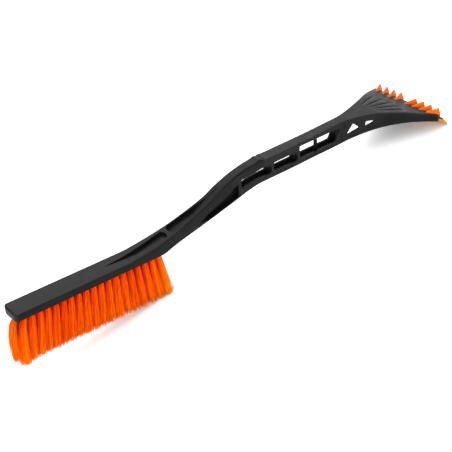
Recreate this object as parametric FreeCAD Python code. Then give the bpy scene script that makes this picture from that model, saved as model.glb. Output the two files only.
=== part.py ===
import FreeCAD, Part
import math
import os
from FreeCAD import Vector

# Snow brush with an ice scraper, in millimetres.
# It is drawn along X in the brush's own frame: X runs from the outer end of the brush bar to the
# scraper, Z = 0 is the flat underside of the bar, Y = 0 is the plane of symmetry.
# At the end everything is turned into the pose in which the brush lies on a table, on the inner
# bristle tips and on the scraper blade, with the origin under the middle of its bounding box.

# ---- brush bar and bristles ----
BAR_START = -4.0          # outer end of the bar
BAR_HALF_WIDTH = 14.9
BAR_HEIGHT = 9.7
BAR_CORNER = 6.0          # rounding of the outer end in plan
BAR_END_BEVEL = 2.2
BAR_FLAT_END = 150.0      # the flat top of the bar ends here
HOLE_RADIUS = 2.8
HOLE_DEPTH = 6.5
TUFT_PITCH = 10.03
TUFT_FIRST_X = 9.5
ROW_SPACING = 8.0
TUFTS_PER_ROW = 19
TUFT_ROOT_RADIUS = 2.6
TUFT_TIP_RADIUS = 4.1
TUFT_LENGTH = 57.0
OUTER_LEAN = -0.16        # lean of the first tuft along X per unit of length
LEAN_CHANGE = 0.30        # difference between that and the lean of the last tuft
ANCHOR = (4.6, 0.5, 1.6)  # flat wire that holds a folded tuft in its hole

# ---- handle ----
HEAD_FRONT = 612.0
WALL = 2.2
FLOOR = 2.4
LIP = 7.2                 # height of the lower edge of the windows above the underside
COVER_START = 358.0
COVER_THICKNESS = 2.2
COVER_OVERHANG = 1.0
COVER_REST = 9.0          # length of the solid roof that carries the end of the cover
ROOF_THICKNESS = 4.0      # of the hump above the hollow
OPEN_UNDERSIDE = (493.0, 594.0)
CAVITY_START = 318.5
WEB_THICKNESS = 2.4
WEB_PLACES = (369.4, 412.0)
BOSS_RADIUS = 2.5
GRIP_BOSS_X = 448.0
HEAD_BOSS = (570.0, 21.0)

# Side view of the moulding: height of its top and underside along X.
TOP_LINE = [(150, 9.9), (180, 12.5), (215, 19.7), (245, 29.0), (275, 40.0), (291, 48.7),
            (320, 59.0), (345, 63.2), (366, 63.4), (395, 64.4), (440, 65.9), (485, 68.6),
            (510, 69.2), (530, 68.9), (560, 65.6), (590, 59.2), (612, 53.2)]
UNDER_LINE = [(150, 0.0), (188, 0.0), (196, 0.1), (203, 1.5), (215, 4.6), (245, 10.0), (275, 16.1),
              (305, 23.0), (335, 30.9), (352, 33.4), (395, 34.4), (440, 36.3), (480, 37.4),
              (500, 39.6), (530, 44.8), (558, 48.0), (575, 48.4), (592, 46.6), (612, 43.0)]
# Plan view: half of its width along X.
HALF_WIDTH = [(150, 14.9), (182, 14.9), (215, 13.0), (245, 10.8), (275, 9.5), (305, 8.6),
              (350, 8.35), (440, 8.1), (486, 7.7), (500, 9.2), (515, 13.2), (530, 18.4),
              (545, 25.1), (560, 33.0), (575, 41.3), (590, 48.9), (612, 59.0)]
# Rounding of its upper edges: tight on the bar, full on the hump where the palm rests.
EDGE_ROUNDING = [(150, 1.2), (215, 1.6), (260, 2.2), (300, 3.0), (335, 2.6), (352, 1.6), (612, 1.4)]
UNDER_ROUNDING = 1.2
LEAD = 48.0               # run-in before and after a smooth body, cut off again
CREST = [(340, 62.1), (346, 63.7), (352, 65.3), (357.9, 63.6)]
COVER_TOP = [(358, 64.4), (368, 63.6), (395, 64.4), (440, 65.9), (485, 68.6), (510, 69.2),
             (530, 68.9), (560, 65.6), (590, 59.2), (612, 53.2)]

# ---- scraper head ----
TOOTH_PITCH = 13.8
TEETH_PER_SIDE = 4
TOOTH_HALF_WIDTH = 3.1
TOOTH_REAR_X = 599.0
TOOTH_TIP_X = 616.6
TOOTH_TIP_Z = 60.3
TOOTH_FIRST_SPLAY = 16.0  # degrees in plan for the tooth beside the middle
TOOTH_SPLAY_STEP = 4.6
RAIL_THICKNESS = 1.8
JAW_THICKNESS = 1.6
BLADE_HALF_WIDTH = 57.0
BLADE_ROOT = 3.0
FIT = 0.1                 # clearance of the inserts in their slots
MIDDLE_BLOCK = 7.0        # half-width of the plain block between the two rows of teeth
COVER_POST_LENGTH = 5.0
COVER_POST_RADIUS = 2.9
SCREW_RADIUS = 1.45
SCREW_HEAD_RADIUS = 2.9
HEAD_BOSS_UNDER = 51.0
GROOVE_ANGLES = (-25.0, -12.5, 0.0, 12.5, 25.0)


def smooth_line(points):
    """Curve through (x, value) points that doesn't overshoot between them."""
    xs = [p[0] for p in points]
    values = [p[1] for p in points]
    rises = [(values[i + 1] - values[i]) / (xs[i + 1] - xs[i]) for i in range(len(xs) - 1)]
    slopes = [0.0 if rises[0] < 0.2 else rises[0]]      # a nearly level start stays level
    for before, after in zip(rises, rises[1:]):
        slopes.append(0.0 if before * after <= 0 else 2 * before * after / (before + after))
    slopes.append(rises[-1])

    def value(x):
        if x < xs[0] or x > xs[-1]:
            end = 0 if x < xs[0] else -1
            return values[end] + slopes[end] * (x - xs[end])
        i = max(k for k in range(len(xs) - 1) if xs[k] <= x)
        span = xs[i + 1] - xs[i]
        t = (x - xs[i]) / span
        return (values[i] * (1 + 2 * t) * (1 - t) ** 2 + slopes[i] * span * t * (1 - t) ** 2
                + values[i + 1] * t * t * (3 - 2 * t) + slopes[i + 1] * span * t * t * (t - 1))
    return value


top_z = smooth_line(TOP_LINE)
under_z = smooth_line(UNDER_LINE)
half_width = smooth_line(HALF_WIDTH)
edge_rounding = smooth_line(EDGE_ROUNDING)
cover_z = smooth_line(COVER_TOP)


def stations(start, end, step=8.0):
    """Evenly spaced places along X, both ends included."""
    count = max(2, round((end - start) / step))
    return [start + (end - start) * i / count for i in range(count + 1)]


def section(x, half, low, high, r_low, r_high):
    """Rounded rectangle across X, from height low to high."""
    k = 1 - math.sqrt(0.5)
    edges = []
    corners = [(half, low, 1, 1, r_low), (half, high, 1, -1, r_high),
               (-half, high, -1, -1, r_high), (-half, low, -1, 1, r_low)]
    arcs = []
    for y, z, sy, sz, r in corners:
        along_y = Vector(x, y - sy * r, z)
        along_z = Vector(x, y, z + sz * r)
        middle = Vector(x, y - sy * r * k, z + sz * r * k)
        first, last = (along_y, along_z) if sy * sz > 0 else (along_z, along_y)
        arcs.append((first, middle, last))
    for i, (first, middle, last) in enumerate(arcs):
        edges.append(Part.Arc(first, middle, last).toShape())
        edges.append(Part.makeLine(last, arcs[(i + 1) % 4][0]))
    return Part.Wire(edges)


def loft(places, half, low, high, r_low, r_high, straight=False):
    """Solid through rounded rectangles; each size is a function of x."""
    wires = [section(x, half(x), low(x), high(x), r_low(x), r_high(x)) for x in places]
    return Part.makeLoft(wires, True, straight)


def constant(value):
    return lambda x: value


def side_prism(points, radius=0.0, y0=-80.0, y1=80.0):
    """Solid with the (x, z) outline, running across the part from y0 to y1."""
    return rounded_outline([Vector(x, y0, z) for x, z in points], radius).extrude(Vector(0, y1 - y0, 0))


def plan_prism(points, radius=0.0, z0=-10.0, z1=90.0):
    """Solid with the (x, y) outline, running up from z0 to z1."""
    return rounded_outline([Vector(x, y, z0) for x, y in points], radius).extrude(Vector(0, 0, z1 - z0))


def rounded_outline(corners, radius):
    """Flat face with the given corners, each rounded off."""
    if radius == 0:
        return Part.Face(Part.makePolygon(corners + [corners[0]]))
    count = len(corners)
    arcs = []
    for i, corner in enumerate(corners):
        before = (corners[i - 1] - corner).normalize()
        after = (corners[(i + 1) % count] - corner).normalize()
        half_angle = before.getAngle(after) / 2
        setback = radius / math.tan(half_angle)
        bisector = (before + after).normalize()
        middle = corner + bisector * (radius / math.sin(half_angle) - radius)
        arcs.append((corner + before * setback, middle, corner + after * setback))
    edges = []
    for i, (first, middle, last) in enumerate(arcs):
        edges.append(Part.Arc(first, middle, last).toShape())
        edges.append(Part.makeLine(last, arcs[(i + 1) % count][0]))
    return Part.Face(Part.Wire(edges))


def box(x0, x1, y0, y1, z0, z1):
    return Part.makeBox(x1 - x0, y1 - y0, z1 - z0, Vector(x0, y0, z0))


# ---------------------------------------------------------------- handle moulding

def moulding_body():
    """Bar, neck, grip and flared head as one smooth closed body."""
    places = stations(BAR_START - LEAD, HEAD_FRONT + LEAD / 2, 10.0)
    body = loft(places, half_width, under_z, top_z, constant(UNDER_ROUNDING), edge_rounding)
    w = BAR_HALF_WIDTH + 0.2
    bar_end = plan_prism([(BAR_START, -w), (80, -w), (80, w), (BAR_START, w)], BAR_CORNER, -20, 90)
    rest = box(60, HEAD_FRONT, -80, 80, -20, 90)
    body = body.common(bar_end.fuse(rest))
    low_edge = BAR_HEIGHT - BAR_END_BEVEL
    over_bar = side_prism([(BAR_START - 1, low_edge - 1), (BAR_START + BAR_END_BEVEL, BAR_HEIGHT),
                           (BAR_FLAT_END, BAR_HEIGHT), (BAR_FLAT_END + 12, BAR_HEIGHT + 1.7),
                           (BAR_FLAT_END + 12, 60), (BAR_START - 1, 60)])
    groove = box(BAR_START - 1, BAR_START + 0.7, -9, 9, 4.4, 5.2)
    return body.cut(over_bar).cut(groove)


def crest():
    """Low ridge across the hump, just before the end of the cover."""
    return loft(stations(CREST[0][0], CREST[-1][0], 3.0), lambda x: half_width(x) - 0.7, constant(59.8),
                smooth_line(CREST), constant(0.3), constant(1.4))


def above_cover_seat():
    """Everything above the seat of the cover, from the place where the cover starts."""
    places = stations(COVER_START + 2, HEAD_FRONT)
    low = [(x, cover_z(x) - COVER_THICKNESS) for x in places]
    return side_prism([(COVER_START, 90), (COVER_START, low[0][1])] + low + [(HEAD_FRONT, 90)])


def inner_space():
    """Room inside the grip and the head, open under the cover and under the head."""
    inner_half = lambda x: half_width(x) - WALL
    inner_low = lambda x: under_z(x) + FLOOR
    rounding = constant(0.8)
    roof_end = COVER_START + COVER_REST
    hump = loft(stations(CAVITY_START, roof_end), inner_half, inner_low,
                lambda x: top_z(x) - ROOF_THICKNESS, rounding, rounding, True)
    grip = loft(stations(roof_end, OPEN_UNDERSIDE[0]), inner_half, inner_low,
                constant(80.0), rounding, rounding, True)
    head = loft(stations(OPEN_UNDERSIDE[0], OPEN_UNDERSIDE[1]), inner_half, constant(30.0),
                constant(80.0), rounding, rounding, True)
    return [hump, grip, head]


def lip_z(x):
    return under_z(x) + LIP


def window_outlines():
    """Windows through the side walls of the grip, and the three-cornered ones by the head."""
    return [
        ([(320, lip_z(320)), (344, lip_z(344)), (368.6, lip_z(368)), (368.6, 54.8), (320, 49.6)], 1.8),
        ([(372.4, lip_z(372)), (411.2, lip_z(411)), (411.2, 55.0), (372.4, 53.8)], 1.8),
        ([(415.2, lip_z(415)), (475, lip_z(475)), (486, 61.8), (415.2, 60.6)], 1.8),
        ([(493.6, 47.0), (514.4, 53.2), (504.6, 61.4)], 1.4),
        ([(520.6, 53.2), (530, 56.0), (535.2, 59.6), (522.4, 60.2)], 1.0),
    ]


def side_pockets():
    """Long tapering pockets on both sides of the neck, with a web left between them."""
    outline = [(253, 16.8), (268, 16.9), (285, 20.6), (302, 24.9), (315.6, 29.0), (315.6, 45.4),
               (304.5, 41.0), (303.5, 38.6), (285, 31.4), (267, 24.9)]
    web = 1.3
    return [side_prism(outline, 0.6, web, 20), side_prism(outline, 0.6, -20, -web)]


def top_recesses():
    """Two tapering recesses in the top of the neck that meet at a cross rib."""
    brush_side = spindle(118.0, 209.0, 7.6, 4.2)
    grip_side = spindle(292.0, 213.0, 10.0, 5.4)
    return [brush_side, grip_side]


def spindle(point_x, blunt_x, half, depth):
    """Recess from a point at point_x to a rounded end of the given half-width at blunt_x."""
    direction = 1 if blunt_x > point_x else -1
    sides = []
    for x in stations(point_x, blunt_x - direction * half * 0.45, 14.0):
        t = abs(x - point_x) / abs(blunt_x - point_x)
        sides.append((x, 0.25 + half * math.sin(t * math.pi / 2) ** 1.25))
    upper = [Vector(x, y, 0) for x, y in sides]
    lower = [Vector(x, -y, 0) for x, y in reversed(sides)]
    curve_up = Part.BSplineCurve()
    curve_up.interpolate(upper)
    curve_down = Part.BSplineCurve()
    curve_down.interpolate(lower)
    blunt = Part.Arc(upper[-1], Vector(blunt_x, 0, 0), lower[0]).toShape()
    tip = Part.makeLine(lower[-1], upper[0])
    plan = Part.Face(Part.Wire([curve_up.toShape(), blunt, curve_down.toShape(), tip]))
    column = plan.extrude(Vector(0, 0, 90))
    floor = []
    for x in sorted(stations(point_x, blunt_x, 14.0)):
        t = abs(x - point_x) / abs(blunt_x - point_x)
        floor.append((x, top_z(x) - depth * min(1.0, 1.9 * t)))
    return column.common(side_prism([(floor[0][0], 90)] + floor + [(floor[-1][0], 90)]))


def tuft_places():
    """(row, x, y) of every tuft; the middle row is set back by half a pitch."""
    places = []
    for row, y in enumerate((-ROW_SPACING, 0.0, ROW_SPACING)):
        shift = -TUFT_PITCH / 2 if row == 1 else 0.0
        for i in range(TUFTS_PER_ROW):
            places.append((row, TUFT_FIRST_X + shift + TUFT_PITCH * i, y))
    return places


def tuft_holes():
    return [Part.makeCylinder(HOLE_RADIUS, HOLE_DEPTH + 1, Vector(x, y, -1))
            for row, x, y in tuft_places()]


def front_plane_z(x, layer):
    """Height of the layers of the scraper head, parallel to the drooping top of the head."""
    return cover_z(min(x, HEAD_FRONT)) - 0.36 * max(0.0, x - HEAD_FRONT) - layer


def layer_prism(x0, x1, upper, lower, half, grow=0.0):
    """Slab that follows the top of the head between two depths below it."""
    places = stations(x0, x1, 6.0)
    over = [(x, front_plane_z(x, upper) + grow) for x in places]
    under = [(x, front_plane_z(x, lower) - grow) for x in reversed(places)]
    return side_prism(over + under, 0, -half, half)


RAIL_TOP = COVER_THICKNESS
RAIL_UNDER = COVER_THICKNESS + RAIL_THICKNESS
JAW_UNDER = RAIL_UNDER + JAW_THICKNESS
BLADE_UNDER = JAW_UNDER + BLADE_ROOT


def nose_lip():
    """Thin black nose that reaches down over the root of the blade."""
    outline = [(610.0, front_plane_z(610, RAIL_UNDER)), (618.4, front_plane_z(618.4, RAIL_UNDER)),
               (624.6, 42.3), (624.0, 41.9), (618.0, 45.0), (610.0, front_plane_z(610, JAW_UNDER))]
    slab = side_prism(outline, 0, -60, 60)
    corner = 5.0
    front = plan_prism([(600, -58.4), (625, -58.4), (625, 58.4), (600, 58.4)], corner)
    return slab.common(front)


def blade_outline(grow=0.0):
    return [(596.0, front_plane_z(596, JAW_UNDER) + grow), (612.0, front_plane_z(612, JAW_UNDER) + grow),
            (618.0, 45.0), (624.0, 41.9), (633.6, 32.2), (633.2, 31.2), (632.0, 31.0),
            (614.5, 42.4 - grow), (612.0, front_plane_z(612, BLADE_UNDER) - grow),
            (596.0, front_plane_z(596, BLADE_UNDER) - grow)]


def head_ribs():
    """Ribs under the cover: a middle rib and two that fan out to the screw bosses."""
    ribs = [side_prism([(519, 60), (519, 72), (596, 72), (596, 49.5), (560, 54)], 0, -1.1, 1.1)]
    x, y = HEAD_BOSS
    for side in (-1, 1):
        rib = side_prism([(522, 60), (522, 72), (596, 72), (596, 49.5), (560, 54)], 0, -1.0, 1.0)
        rib.rotate(Vector(519, 0, 0), Vector(0, 0, 1), side * 22.5)
        ribs.append(rib)
        ribs.append(Part.makeCylinder(BOSS_RADIUS + 1.0, 40, Vector(x, side * y, HEAD_BOSS_UNDER)))
    return ribs


def cover_bosses(radius, grow=0.0):
    """Posts under the cover that the screws bite into."""
    x, y = HEAD_BOSS
    posts = []
    for px, py in ((GRIP_BOSS_X, 0.0), (x, y), (x, -y)):
        seat = cover_z(px) - COVER_THICKNESS
        low = seat - COVER_POST_LENGTH - grow
        posts.append(Part.makeCylinder(radius, seat + 1.5 - low, Vector(px, py, low)))
    return posts


def blade_plan(grow=0.0):
    """The blade in plan: its root follows the flare of the head."""
    root = [(x, half_width(x) - WALL - 0.3 + grow) for x in (596.0, 604.0, 612.0)]
    side = root + [(616.0, BLADE_HALF_WIDTH + grow), (631.6, BLADE_HALF_WIDTH + grow), (634.0, 54.6)]
    return plan_prism([(x, -y) for x, y in side] + [(x, y) for x, y in reversed(side)])


def rail_plan(side, grow=0.0):
    """One half of the row of teeth in plan, from beside the middle to the head's side wall."""
    outer = [(x, half_width(x) - WALL + grow) for x in (597.0 - grow, 604.0, 612.0)]
    outer = outer + [(617.2 + grow, 57.4 + grow)]
    points = [(617.2 + grow, MIDDLE_BLOCK - grow), (597.0 - grow, MIDDLE_BLOCK - grow)] + outer
    return plan_prism([(x, side * y) for x, y in points])


def tooth(index, side, grow=0.0):
    """One pick: a roof-shaped fin with a steep front, turned outwards."""
    w = TOOTH_HALF_WIDTH + grow
    ridge = 0.35
    roof = [Vector(590, -w, 44), Vector(590, w, 44), Vector(590, w, 51.5), Vector(590, ridge, TOOTH_TIP_Z),
            Vector(590, -ridge, TOOTH_TIP_Z), Vector(590, -w, 51.5)]
    fin = Part.Face(Part.makePolygon(roof + [roof[0]])).extrude(Vector(40, 0, 0))
    rear = TOOTH_REAR_X - grow
    side_view = [(rear, front_plane_z(rear, RAIL_TOP + 0.4)), (rear, cover_z(rear) - 0.4),
                 (rear + 1.2, cover_z(rear) + 0.3), (TOOTH_TIP_X, TOOTH_TIP_Z),
                 (TOOTH_TIP_X + 1.5, 49.6), (616.0, front_plane_z(616, RAIL_TOP + 0.4))]
    fin = fin.common(side_prism(side_view, 0, -5, 5))
    tip = Vector(TOOTH_TIP_X, 0, 0)
    fin.rotate(tip, Vector(0, 0, 1), side * (TOOTH_FIRST_SPLAY + TOOTH_SPLAY_STEP * index))
    fin.translate(Vector(0, side * TOOTH_PITCH * (index + 1), 0))
    return fin


def ice_teeth(side):
    """Four picks on a common rail that lies in the head under the cover."""
    rail = layer_prism(596.5, 617.4, RAIL_TOP, RAIL_UNDER, 60).common(rail_plan(side))
    teeth = rail.multiFuse([tooth(i, side) for i in range(TEETH_PER_SIDE)])
    return teeth.removeSplitter()


def scraper_blade():
    """Broad blade that is clamped in the head and reaches forwards and down."""
    return side_prism(blade_outline()).common(blade_plan())


def top_cover():
    """Raised cover of the grip that widens into the fan-shaped top of the head."""
    half = lambda x: half_width(x) + COVER_OVERHANG
    low = lambda x: cover_z(x) - COVER_THICKNESS - 1.2
    cover = loft(stations(COVER_START - LEAD / 2, HEAD_FRONT + LEAD / 2), half, low, cover_z,
                 constant(0.3), constant(1.1))
    cover = cover.common(above_cover_seat())
    z = cover_z(COVER_START)
    slant = side_prism([(COVER_START - 1, z - 1.6), (COVER_START, z - 1.6), (COVER_START + 2.4, z),
                        (COVER_START + 2.4, z + 1), (COVER_START - 1, z + 1)])
    cover = cover.cut(slant).multiFuse(cover_bosses(COVER_POST_RADIUS))
    cutters = [tooth(i, side, 0.15) for side in (-1, 1) for i in range(TEETH_PER_SIDE)]
    cutters += fan_grooves()
    for x, y, z in screw_places():
        cutters.append(Part.makeCylinder(SCREW_RADIUS + FIT, cover_z(x) - 1.0 - z, Vector(x, y, z)))
    return cover.cut(Part.makeCompound(cutters))


def fan_grooves():
    """Shallow leaf-shaped grooves that spread over the top of the head."""
    grooves = []
    for angle in GROOVE_ANGLES:
        near = Vector(543.0, 0, 0)
        far = Vector(587.0, 0, 0)
        one = Part.Arc(near, Vector(570.0, 1.1, 0), far).toShape()
        other = Part.Arc(far, Vector(570.0, -1.1, 0), near).toShape()
        leaf = Part.Face(Part.Wire([one, other]))
        leaf.rotate(Vector(514, 0, 0), Vector(0, 0, 1), angle)
        column = leaf.extrude(Vector(0, 0, 90))
        places = stations(535, 600, 8.0)
        floor = [(x, cover_z(x) - 0.7) for x in places]
        grooves.append(column.common(side_prism([(535, 90)] + floor + [(600, 90)])))
    return grooves


def screw_places():
    """Where the cover screws come up from below: x, y and the height of the head's seat."""
    x, y = HEAD_BOSS
    return [(GRIP_BOSS_X, 0.0, under_z(GRIP_BOSS_X) + 1.6), (x, y, HEAD_BOSS_UNDER + 1.6),
            (x, -y, HEAD_BOSS_UNDER + 1.6)]


def cover_screws():
    """Self-tapping screws with a domed head and a cross recess."""
    screws = []
    for x, y, seat in screw_places():
        length = cover_z(x) - 1.6 - seat
        shank = Part.makeCylinder(SCREW_RADIUS, length - 2.0, Vector(x, y, seat))
        point = Part.makeCone(SCREW_RADIUS, 0.3, 2.0, Vector(x, y, seat + length - 2.0))
        head = Part.makeCone(SCREW_RADIUS + 0.5, SCREW_HEAD_RADIUS, 1.5, Vector(x, y, seat - 1.5))
        cross = box(x - 1.6, x + 1.6, y - 0.3, y + 0.3, seat - 1.6, seat - 0.4)
        cross = cross.fuse(box(x - 0.3, x + 0.3, y - 1.6, y + 1.6, seat - 1.6, seat - 0.4))
        screws.append(shank.multiFuse([point, head]).cut(cross))
    return Part.makeCompound(screws)


def handle_frame():
    """The one black moulding: bar, neck, grip with its windows, and the head's walls and jaw."""
    body = moulding_body()
    shell = body.cut(Part.makeCompound(inner_space()))
    webs = [body.common(box(x, x + WEB_THICKNESS, -20, 20, 20, 90)) for x in WEB_PLACES]
    ribs = head_ribs()
    ribs = [body.common(rib) for rib in ribs]
    frame = shell.multiFuse(webs + ribs + [nose_lip(), crest()])
    cutters = [above_cover_seat()] + top_recesses() + side_pockets() + tuft_holes()
    cutters += [side_prism(outline, radius) for outline, radius in window_outlines()]
    cutters += cover_bosses(COVER_POST_RADIUS + FIT, FIT)
    rail_slot = layer_prism(596.0, 619.0, RAIL_TOP - 1.0, RAIL_UNDER, 60, FIT)
    cutters += [rail_slot.common(rail_plan(side, FIT)) for side in (-1, 1)]
    cutters.append(side_prism(blade_outline(FIT)).common(blade_plan(FIT)))
    for x, y, z in screw_places():
        cutters.append(Part.makeCylinder(SCREW_RADIUS + FIT, 40, Vector(x, y, z - 1)))
        cutters.append(Part.makeCylinder(SCREW_HEAD_RADIUS + 0.4, 11.6, Vector(x, y, z - 11.5)))
    return frame.cut(Part.makeCompound(cutters)).fuse(grip_boss())


def grip_boss():
    """Post round the middle screw; it stands free in the front window."""
    x, y, seat = screw_places()[0]
    top = cover_z(x) - COVER_THICKNESS - COVER_POST_LENGTH - FIT
    post = Part.makeCylinder(BOSS_RADIUS, top - seat - 0.4, Vector(x, y, seat + 0.4))
    return post.cut(Part.makeCylinder(SCREW_RADIUS + FIT, 40, Vector(x, y, seat)))


# ---------------------------------------------------------------- bristles

def tuft_lean(x):
    """Lean of a tuft along X per unit of length: outwards at the outer end, inwards by the neck."""
    along = (x - TUFT_FIRST_X) / (TUFT_PITCH * (TUFTS_PER_ROW - 1))
    return OUTER_LEAN + LEAN_CHANGE * max(0.0, along) ** 3


def tuft(x, y):
    """One tuft: a bundle folded into its hole, spreading towards the tips and leaning along the bar."""
    lean = tuft_lean(x)
    spread = 0.06 * y / ROW_SPACING
    root = Part.makeCylinder(TUFT_ROOT_RADIUS, HOLE_DEPTH - 0.2, Vector(x, y, 0))
    top = Part.Wire(Part.makeCircle(TUFT_ROOT_RADIUS, Vector(x, y, 0), Vector(0, 0, 1)))
    tip = Vector(x + lean * TUFT_LENGTH, y + spread * TUFT_LENGTH, -TUFT_LENGTH)
    end = Part.Wire(Part.makeCircle(TUFT_TIP_RADIUS, tip, Vector(0, 0, 1)))
    bundle = Part.makeLoft([end, top], True, True)
    return bundle.fuse(root).cut(anchor(x, y, FIT)).removeSplitter()


def anchor(x, y, grow=0.0):
    """Flat wire driven across the fold of the tuft."""
    length, thickness, height = ANCHOR
    z = HOLE_DEPTH - 1.0 - height
    return box(x - thickness / 2 - grow, x + thickness / 2 + grow, y - length / 2 - grow,
               y + length / 2 + grow, z - grow, z + height + grow)


def bristle_row(row):
    return Part.makeCompound([tuft(x, y) for r, x, y in tuft_places() if r == row])


def anchor_row(row):
    return Part.makeCompound([anchor(x, y) for r, x, y in tuft_places() if r == row])


def main():
    nodes = {
        "handle_frame": handle_frame(),
        "top_cover": top_cover(),
        "cover_screws": cover_screws(),
        "ice_teeth_left": ice_teeth(1),
        "ice_teeth_right": ice_teeth(-1),
        "scraper_blade": scraper_blade(),
    }
    for row, name in enumerate(("right", "middle", "left")):
        nodes["bristle_row_" + name] = bristle_row(row)
        nodes["tuft_anchors_" + name] = anchor_row(row)
    lay_down(nodes)
    os.makedirs("parts", exist_ok=True)
    for name, shape in nodes.items():
        bounds = shape.BoundBox
        print(name, "valid" if shape.isValid() else "INVALID", len(shape.Solids), "solids",
              round(shape.Volume), "mm3", [round(v, 1) for v in (bounds.XMin, bounds.XMax, bounds.YMin,
                                                               bounds.YMax, bounds.ZMin, bounds.ZMax)])
        shape.exportStep("parts/" + name + ".step")


def lay_down(nodes):
    """Turn the brush so that the inner bristle tips and the blade touch the table."""
    last_x = TUFT_FIRST_X + TUFT_PITCH * (TUFTS_PER_ROW - 1)
    tip_x = last_x + tuft_lean(last_x) * TUFT_LENGTH + TUFT_TIP_RADIUS
    edge = blade_outline()[6]     # the lowest point of the blade
    tilt = math.degrees(math.atan2(edge[1] + TUFT_LENGTH, edge[0] - tip_x))
    for shape in nodes.values():
        shape.rotate(Vector(0, 0, 0), Vector(0, 1, 0), tilt)
    bounds = Part.makeCompound(list(nodes.values())).optimalBoundingBox(False)
    shift = Vector(-(bounds.XMin + bounds.XMax) / 2, -(bounds.YMin + bounds.YMax) / 2, -bounds.ZMin)
    for shape in nodes.values():
        shape.translate(shift)
    print("turned by", round(tilt, 3), "degrees, moved by", [round(v, 3) for v in shift])


main()
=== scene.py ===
import math

import bpy
import numpy as np
from mathutils import Matrix, Vector


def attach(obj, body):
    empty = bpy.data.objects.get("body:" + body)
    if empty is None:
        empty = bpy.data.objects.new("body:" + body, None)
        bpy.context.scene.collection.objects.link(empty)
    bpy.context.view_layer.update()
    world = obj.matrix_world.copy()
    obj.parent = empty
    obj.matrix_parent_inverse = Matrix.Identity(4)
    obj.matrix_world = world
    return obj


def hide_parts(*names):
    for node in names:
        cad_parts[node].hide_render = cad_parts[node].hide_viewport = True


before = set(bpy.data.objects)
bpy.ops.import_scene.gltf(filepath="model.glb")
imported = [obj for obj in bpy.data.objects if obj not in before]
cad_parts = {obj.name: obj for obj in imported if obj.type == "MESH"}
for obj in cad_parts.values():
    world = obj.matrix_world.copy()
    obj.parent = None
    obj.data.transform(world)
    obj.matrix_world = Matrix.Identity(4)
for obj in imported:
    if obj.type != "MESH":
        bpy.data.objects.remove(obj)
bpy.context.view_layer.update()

MM = 0.001
rng = np.random.default_rng(20)

# ---- how the brush lies: its own frame (X along the bar, Z = 0 its underside) in the row frame ----
BAR_TILT = math.radians(11.569)
BAR_ORIGIN = Vector((-0.303598, 0.0, 0.096422))

# ---- bristles, in millimetres in the brush's own frame; rows, pitch and lean are the CAD model's ----
ROW_SPACING = 8.0
TUFTS_PER_ROW = 19
TUFT_PITCH = 10.03
TUFT_FIRST_X = 9.5
TUFT_LENGTH = 57.0
TUFT_ROOT_RADIUS = 3.0
TUFT_TIP_RADIUS = 6.0
OUTER_LEAN = -0.16        # lean of the first tuft along X per unit of length
LEAN_CHANGE = 0.30        # difference between that and the lean of the last tuft
SIDE_LEAN = 0.12          # how far the outer rows drift outwards, as a share of their distance
ROOT_INSET = 1.5          # the filaments start this far inside the bar
# Each row's y and the x of its first tuft; the middle row is set back by half a pitch.
ROWS = {"right": (-ROW_SPACING, TUFT_FIRST_X), "middle": (0.0, TUFT_FIRST_X - TUFT_PITCH / 2),
        "left": (ROW_SPACING, TUFT_FIRST_X)}

FILAMENTS_PER_TUFT = 300
FILAMENT_RADIUS = 0.25
FILAMENT_TAPER = 0.35     # share of its radius that a filament loses towards the tip
FILAMENT_RINGS = 6
FILAMENT_SIDES = 3
LENGTH_SCATTER = 1.5
TIP_SCATTER = 1.5
CRIMP = 0.28              # depth of the waves in a filament
CRIMP_TURNS = (2.5, 5.0)  # half waves along a filament, least and most
FLOOR_GAP = 0.0004        # metres; no filament goes lower than this above the floor

END_X = 4.0               # the tufts near this x:
END_BULGE = 8.0           # they bulge out past the bar,
END_RETURN = 10.0         # come in again towards their tips
END_EXTRA = 4.0           # and are a little longer on the right
BULGE_FADE = 6.0          # how fast these fade along the bar
EXTRA_FADE = 8.0

# Brightness of a filament, from 0 (deep orange) to 1 (yellow orange): a random tone with painted shade
# on the flanks of each tuft and painted light on the tufts at the ends of the bar.
SHADE_MIDDLE = 0.62
SHADE_SCATTER = 0.17
TUFT_SHADE_SCATTER = 0.06
FLANK_PAINTED_SHADE = 0.36        # painted shade: the flanks of a tuft, towards the shadowed gaps between tufts, are darker by this
OUTER_END_PAINTED_LIGHT = 0.28    # and the tufts at the two ends of the bar brighter by these: painted light on the end tufts, which lie open to the light
INNER_END_PAINTED_LIGHT = 0.25
PAINTED_END_LIGHT_FADE = 7.0

# ---- edges of the CAD nodes ----
WELD_DISTANCE = 1e-6
BEVEL_ANGLE = math.radians(40)
CREASE_ANGLE = math.radians(32)

# ---- camera, round the point it looks at ----
CAMERA_AZIMUTH = math.radians(-28.562)
CAMERA_ELEVATION = math.radians(37.789)
CAMERA_ROLL = math.radians(16.352)
CAMERA_DISTANCE = 1.40667
CAMERA_AIM = Vector((-0.01716, -0.00659, 0.03218))
CAMERA_LENS = 90.66


# ---------------------------------------------------------------- materials

def new_material(name):
    material = bpy.data.materials.new(name)
    material.use_nodes = True
    tree = material.node_tree
    shader = tree.nodes["Principled BSDF"]
    return material, tree, shader


def add_node(tree, kind, **sockets):
    node = tree.nodes.new(kind)
    for name, value in sockets.items():
        node.inputs[name.replace("_", " ")].default_value = value
    return node


def object_coordinates(tree, scale=(1, 1, 1)):
    source = tree.nodes.new("ShaderNodeTexCoord")
    mapping = add_node(tree, "ShaderNodeMapping", Scale=scale)
    tree.links.new(source.outputs["Object"], mapping.inputs["Vector"])
    return mapping.outputs["Vector"]


def noise(tree, vector, scale, detail=4.0, roughness=0.55):
    node = add_node(tree, "ShaderNodeTexNoise", Scale=scale, Detail=detail, Roughness=roughness)
    tree.links.new(vector, node.inputs["Vector"])
    return node.outputs["Fac"]


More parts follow.
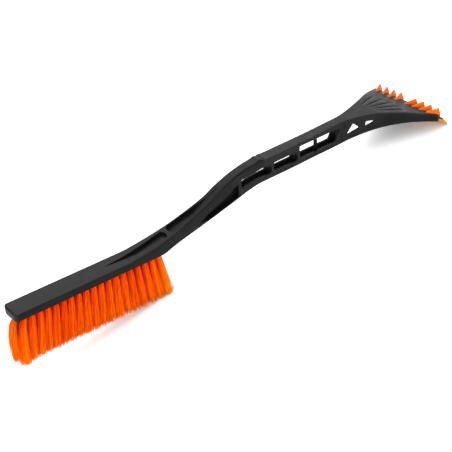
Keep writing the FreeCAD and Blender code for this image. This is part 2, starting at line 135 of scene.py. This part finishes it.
def ramp(tree, factor, stops):
    """Colour ramp; stops are (position, (r, g, b))."""
    node = tree.nodes.new("ShaderNodeValToRGB")
    elements = node.color_ramp.elements
    while len(elements) < len(stops):
        elements.new(0.5)
    for element, (position, colour) in zip(elements, stops):
        element.position = position
        element.color = (*colour, 1.0)
    tree.links.new(factor, node.inputs["Fac"])
    return node.outputs["Color"]


def mix_colour(tree, factor, first, second, blend="MIX"):
    node = tree.nodes.new("ShaderNodeMix")
    node.data_type = "RGBA"
    node.blend_type = blend
    for socket, value in (("Factor", factor), ("A", first), ("B", second)):
        target = [s for s in node.inputs if s.name == socket and s.enabled][0]
        if isinstance(value, (int, float, tuple)):
            target.default_value = value if isinstance(value, (int, float)) else (*value, 1.0)
        else:
            tree.links.new(value, target)
    return [s for s in node.outputs if s.enabled][0]


def map_range(tree, value, low, high, to_low, to_high):
    node = tree.nodes.new("ShaderNodeMapRange")
    node.inputs["From Min"].default_value = low
    node.inputs["From Max"].default_value = high
    node.inputs["To Min"].default_value = to_low
    node.inputs["To Max"].default_value = to_high
    tree.links.new(value, node.inputs["Value"])
    return node.outputs["Result"]


def add_bump(tree, shader, height, strength, distance):
    node = add_node(tree, "ShaderNodeBump", Strength=strength, Distance=distance)
    tree.links.new(height, node.inputs["Height"])
    tree.links.new(node.outputs["Normal"], shader.inputs["Normal"])


def moulded_black(name, dark, light, roughness, gloss, grain, grain_depth):
    """Black polypropylene: slight tone changes, a fine spark-eroded grain and rubbed edges."""
    material, tree, shader = new_material(name)
    place = object_coordinates(tree)
    tone = noise(tree, place, 35.0)
    base = ramp(tree, tone, [(0.3, dark), (0.7, light)])
    geometry = tree.nodes.new("ShaderNodeNewGeometry")
    worn = map_range(tree, geometry.outputs["Pointiness"], 0.53, 0.60, 0.0, 0.55)
    rubbed = mix_colour(tree, worn, base, tuple(2.6 * c for c in light))
    tree.links.new(rubbed, shader.inputs["Base Color"])
    smudge = noise(tree, place, 90.0, 6.0)
    tree.links.new(map_range(tree, smudge, 0.3, 0.7, *roughness), shader.inputs["Roughness"])
    add_bump(tree, shader, noise(tree, place, grain, 2.0, 0.6), 0.35, grain_depth)
    shader.inputs["Specular IOR Level"].default_value = gloss
    return material


def orange_bristle():
    """Crimped orange filaments: each a little different, darker at the root with painted shade and paler
    at the tips with painted light.
    """
    material, tree, shader = new_material("orange_bristle")
    # the per-filament value is a random tone plus painted shade on tuft flanks and painted light on the
    # end tufts
    tone_and_painted_light = tree.nodes.new("ShaderNodeAttribute")
    tone_and_painted_light.attribute_name = "tone_and_painted_light"
    per_filament = ramp(tree, tone_and_painted_light.outputs["Fac"],
                        [(0.0, (0.52, 0.012, 0.0)), (0.35, (0.84, 0.055, 0.0)),
                         (0.65, (0.95, 0.115, 0.0)), (1.0, (1.0, 0.27, 0.001))])
    # painted shade towards the roots, deep in the tuft under the bar, and painted light towards the tips
    reach = tree.nodes.new("ShaderNodeAttribute")
    reach.attribute_name = "reach"
    root_shade_tip_light = ramp(tree, reach.outputs["Fac"], [(0.0, (0.72, 0.40, 0.3)), (0.3, (0.90, 0.80, 0.8)),
                                               (0.75, (1.0, 1.1, 1.0)), (1.0, (1.0, 1.5, 1.0))])
    tree.links.new(mix_colour(tree, 1.0, per_filament, root_shade_tip_light, "MULTIPLY"), shader.inputs["Base Color"])
    shader.inputs["Roughness"].default_value = 0.5
    shader.inputs["Specular IOR Level"].default_value = 0.04
    shader.inputs["Subsurface Weight"].default_value = 0.3
    shader.inputs["Subsurface Radius"].default_value = (0.002, 0.0008, 0.0002)
    return material


def orange_plastic(name, deep, bright, roughness, translucent):
    """Moulded orange plastic with faint flow marks and a soft gloss."""
    material, tree, shader = new_material(name)
    place = object_coordinates(tree)
    flow = noise(tree, object_coordinates(tree, (60, 220, 220)), 1.0, 5.0)
    tree.links.new(ramp(tree, flow, [(0.3, deep), (0.7, bright)]), shader.inputs["Base Color"])
    smudge = noise(tree, place, 240.0, 4.0)
    tree.links.new(map_range(tree, smudge, 0.3, 0.7, roughness - 0.05, roughness + 0.08),
                   shader.inputs["Roughness"])
    add_bump(tree, shader, noise(tree, place, 900.0, 3.0), 0.12, 0.0001)
    shader.inputs["Subsurface Weight"].default_value = translucent
    shader.inputs["Subsurface Radius"].default_value = (0.004, 0.0016, 0.0004)
    shader.inputs["Specular IOR Level"].default_value = 0.07
    return material


def drawn_steel():
    material, tree, shader = new_material("screw_steel")
    place = object_coordinates(tree)
    tone = noise(tree, place, 1500.0, 3.0)
    tree.links.new(ramp(tree, tone, [(0.3, (0.42, 0.42, 0.44)), (0.7, (0.6, 0.6, 0.61))]),
                   shader.inputs["Base Color"])
    shader.inputs["Metallic"].default_value = 1.0
    tree.links.new(map_range(tree, tone, 0.3, 0.7, 0.28, 0.42), shader.inputs["Roughness"])
    return material


# ---------------------------------------------------------------- CAD nodes

def finish_node(name, material, bevel=0.0):
    """Gives a CAD node its material, soft edges and smooth shading; its vertices stay as they are."""
    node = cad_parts[name]
    node.data.materials.clear()
    node.data.materials.append(material)
    node.data.polygons.foreach_set("use_smooth", [True] * len(node.data.polygons))
    weld = node.modifiers.new("weld", "WELD")
    weld.merge_threshold = WELD_DISTANCE
    if bevel:
        soften = node.modifiers.new("soft_edges", "BEVEL")
        soften.width = bevel * MM
        soften.segments = 2
        soften.limit_method = "ANGLE"
        soften.angle_limit = BEVEL_ANGLE
    split = node.modifiers.new("creases", "EDGE_SPLIT")
    split.split_angle = CREASE_ANGLE


# ---------------------------------------------------------------- bristles

def tuft_filaments(root_x, root_y, count):
    """Centre lines of one tuft's filaments in the brush's frame: (count, rings, 3), and their tones with
    painted shade and painted light.
    """
    angle = rng.uniform(0, 2 * math.pi, count)
    out = np.sqrt(rng.uniform(0, 1, count))
    t = np.linspace(0, 1, FILAMENT_RINGS)[None, :]
    along = (root_x - TUFT_FIRST_X) / (TUFT_PITCH * (TUFTS_PER_ROW - 1))
    lean = OUTER_LEAN + LEAN_CHANGE * max(0.0, along) ** 3
    end = math.exp(-(root_x - END_X) / BULGE_FADE)
    right_share = 0.5 - root_y / (2 * ROW_SPACING)
    extra = END_EXTRA * math.exp(-max(root_x - TUFT_FIRST_X, 0.0) / EXTRA_FADE) * right_share
    length = TUFT_LENGTH + extra + rng.normal(0, LENGTH_SCATTER, count)
    spread = TUFT_ROOT_RADIUS + (TUFT_TIP_RADIUS - TUFT_ROOT_RADIUS) * t ** 0.6
    wander = rng.normal(0, TIP_SCATTER, (2, count))
    bulge = END_BULGE * (1 - np.exp(-7 * t)) - END_RETURN * t ** 2
    drift_x = lean * TUFT_LENGTH * t - end * bulge + wander[0][:, None] * t ** 1.3
    drift_y = SIDE_LEAN * root_y * t + wander[1][:, None] * t ** 1.3
    wave = CRIMP * np.sin(rng.uniform(*CRIMP_TURNS, count)[:, None] * math.pi * t
                          + rng.uniform(0, 6.3, count)[:, None])
    swing = rng.uniform(0, 2 * math.pi, count)[:, None]
    x = root_x + (out * np.cos(angle))[:, None] * spread + drift_x + wave * np.cos(swing) * t
    y = root_y + (out * np.sin(angle))[:, None] * spread + drift_y + wave * np.sin(swing) * t
    z = ROOT_INSET - (length + ROOT_INSET)[:, None] * t
    # painted shade: filaments on the flanks of each tuft, towards the shadowed gaps between tufts, are
    # darker
    flank = (out * np.cos(angle)) ** 2
    # painted light: the tufts at both ends of the bar are made brighter below
    tone_and_painted_light = SHADE_MIDDLE + rng.normal(0, SHADE_SCATTER, count) + rng.normal(0, TUFT_SHADE_SCATTER)
    tone_and_painted_light = tone_and_painted_light - FLANK_PAINTED_SHADE * flank + OUTER_END_PAINTED_LIGHT * math.exp(-(root_x - END_X) / PAINTED_END_LIGHT_FADE)
    tone_and_painted_light = tone_and_painted_light + INNER_END_PAINTED_LIGHT * max(0.0, along) ** 12
    return np.stack([x, y, z], axis=2), np.clip(tone_and_painted_light, 0.0, 1.0)


def tubes(lines, radius):
    """Thin tapering tubes along the centre lines: vertices, side faces, tip faces and reach.

    Reach is 0 for the vertices at the root of a tube and 1 for those at its tip.
    """
    count, rings, _ = lines.shape
    turn = np.arange(FILAMENT_SIDES) * 2 * math.pi / FILAMENT_SIDES
    taper = radius * (1.0 - FILAMENT_TAPER * np.linspace(0, 1, rings))
    ring = np.stack([np.cos(turn), np.sin(turn), np.zeros(FILAMENT_SIDES)], axis=1)
    vertices = lines[:, :, None, :] + taper[None, :, None, None] * ring[None, None, :, :]
    first = np.arange(count)[:, None, None] * rings * FILAMENT_SIDES
    step = np.arange(rings - 1)[None, :, None] * FILAMENT_SIDES
    side = np.arange(FILAMENT_SIDES)[None, None, :]
    after = (side + 1) % FILAMENT_SIDES
    base = first + step
    quads = np.stack([base + side, base + after, base + after + FILAMENT_SIDES,
                      base + side + FILAMENT_SIDES], axis=3)
    tips = first[:, :, 0] + (rings - 1) * FILAMENT_SIDES
    caps = tips + np.arange(FILAMENT_SIDES)[None, :]
    reach = np.broadcast_to(np.linspace(0, 1, rings)[None, :, None], vertices.shape[:3])
    return vertices.reshape(-1, 3), quads.reshape(-1, 4), caps, reach.reshape(-1)


def bristle_row(name, material):
    """All tufts of one row as separate filaments; replaces that row's CAD solids."""
    y, first_x = ROWS[name]
    count = FILAMENTS_PER_TUFT
    tufts = [tuft_filaments(first_x + TUFT_PITCH * i, y, count) for i in range(TUFTS_PER_ROW)]
    lines = np.concatenate([tuft[0] for tuft in tufts])
    shades = np.concatenate([tuft[1] for tuft in tufts])
    points, quads, caps, reach = tubes(lines, FILAMENT_RADIUS * (1))
    turn = np.array(Matrix.Rotation(BAR_TILT, 3, "Y"))
    points = points * MM @ turn.T + np.array(BAR_ORIGIN)
    points[:, 2] = np.maximum(points[:, 2], FLOOR_GAP)
    mesh = bpy.data.meshes.new("bristles_" + name)
    mesh.from_pydata(points.tolist(), [], quads.tolist() + caps.tolist())
    mesh.polygons.foreach_set("use_smooth", [True] * len(mesh.polygons))
    points_per_filament = len(points) // len(shades)
    for label, values in (("reach", reach), ("tone_and_painted_light", np.repeat(shades, points_per_filament))):
        attribute = mesh.attributes.new(label, "FLOAT", "POINT")
        attribute.data.foreach_set("value", values.astype(np.float32))
    mesh.materials.append(material)
    piece = bpy.data.objects.new("bristles_" + name, mesh)
    bpy.context.scene.collection.objects.link(piece)
    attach(piece, "root")
    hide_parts("bristle_row_" + name)
    return piece


# ---------------------------------------------------------------- stage

def floor():
    mesh = bpy.data.meshes.new("floor")
    half = 6.0
    mesh.from_pydata([(-half, -half, 0), (half, -half, 0), (half, half, 0), (-half, half, 0)], [],
                     [(0, 1, 2, 3)])
    plane = bpy.data.objects.new("floor", mesh)
    bpy.context.scene.collection.objects.link(plane)
    material, tree, shader = new_material("floor_white")
    shader.inputs["Base Color"].default_value = (0.93, 0.93, 0.93, 1.0)
    shader.inputs["Roughness"].default_value = 0.9
    shader.inputs["Specular IOR Level"].default_value = 0.05
    mesh.materials.append(material)


def area_light(name, place, aim, size, power):
    light = bpy.data.lights.new(name, "AREA")
    light.shape = "RECTANGLE"
    light.size, light.size_y = size
    light.energy = power
    lamp = bpy.data.objects.new(name, light)
    lamp.location = place
    lamp.rotation_euler = (Vector(aim) - Vector(place)).to_track_quat("-Z", "Y").to_euler()
    bpy.context.scene.collection.objects.link(lamp)


def lights():
    world = bpy.data.worlds.new("studio")
    world.use_nodes = True
    background = world.node_tree.nodes["Background"]
    background.inputs["Color"].default_value = (1.0, 1.0, 1.0, 1.0)
    background.inputs["Strength"].default_value = 0.9
    bpy.context.scene.world = world
    area_light("back", (0.85, 1.55, 1.45), (0, 0, 0.05), (2.4, 1.6), 27.0)
    area_light("top", (-0.7, 0.2, 2.0), (0, 0, 0.05), (2.4, 2.4), 42.0)
    area_light("front", (-1.1, -1.5, 0.8), (0, 0, 0.05), (1.6, 1.0), 22.0)
    area_light("fill", (0.9, -1.6, 0.35), (0.25, 0, 0.02), (1.6, 0.5), 14.0)


def camera():
    data = bpy.data.cameras.new("camera")
    data.lens = CAMERA_LENS
    data.sensor_width = 36.0
    data.clip_start = 0.05
    data.clip_end = 30.0
    eye = bpy.data.objects.new("camera", data)
    out = Vector((math.sin(CAMERA_AZIMUTH) * math.cos(CAMERA_ELEVATION),
                  -math.cos(CAMERA_AZIMUTH) * math.cos(CAMERA_ELEVATION), math.sin(CAMERA_ELEVATION)))
    level = (-out).to_track_quat("-Z", "Y").to_matrix().to_4x4()
    roll = Matrix.Rotation(-CAMERA_ROLL, 4, "Z")
    eye.matrix_world = Matrix.Translation(CAMERA_AIM + out * CAMERA_DISTANCE) @ level @ roll
    bpy.context.scene.collection.objects.link(eye)
    bpy.context.scene.camera = eye


def main():
    camera()
    lights()
    floor()
    bpy.context.scene.view_settings.view_transform = "Standard"
    moulding = moulded_black("black_moulding", dark=(0.003, 0.003, 0.0032), light=(0.005, 0.005, 0.0054),
                             roughness=(0.30, 0.40), gloss=0.078, grain=2600.0, grain_depth=0.00008)
    cover = moulded_black("cover_moulding", dark=(0.004, 0.004, 0.0042), light=(0.007, 0.007, 0.0074),
                          roughness=(0.36, 0.46), gloss=0.105, grain=1800.0, grain_depth=0.00012)
    finish_node("handle_frame", moulding)
    finish_node("top_cover", cover, bevel=0.3)
    teeth = orange_plastic("orange_teeth", deep=(0.48, 0.065, 0.001), bright=(0.58, 0.115, 0.002),
                           roughness=0.4, translucent=0.05)
    for side in ("left", "right"):
        finish_node("ice_teeth_" + side, teeth, bevel=0.35)
    blade = orange_plastic("amber_blade", deep=(0.38, 0.12, 0.005), bright=(0.46, 0.18, 0.01),
                           roughness=0.35, translucent=0.2)
    finish_node("scraper_blade", blade, bevel=0.25)
    steel = drawn_steel()
    finish_node("cover_screws", steel, bevel=0.1)
    bristle = orange_bristle()
    for name in ROWS:
        finish_node("tuft_anchors_" + name, steel)
        bristle_row(name, bristle)


main()
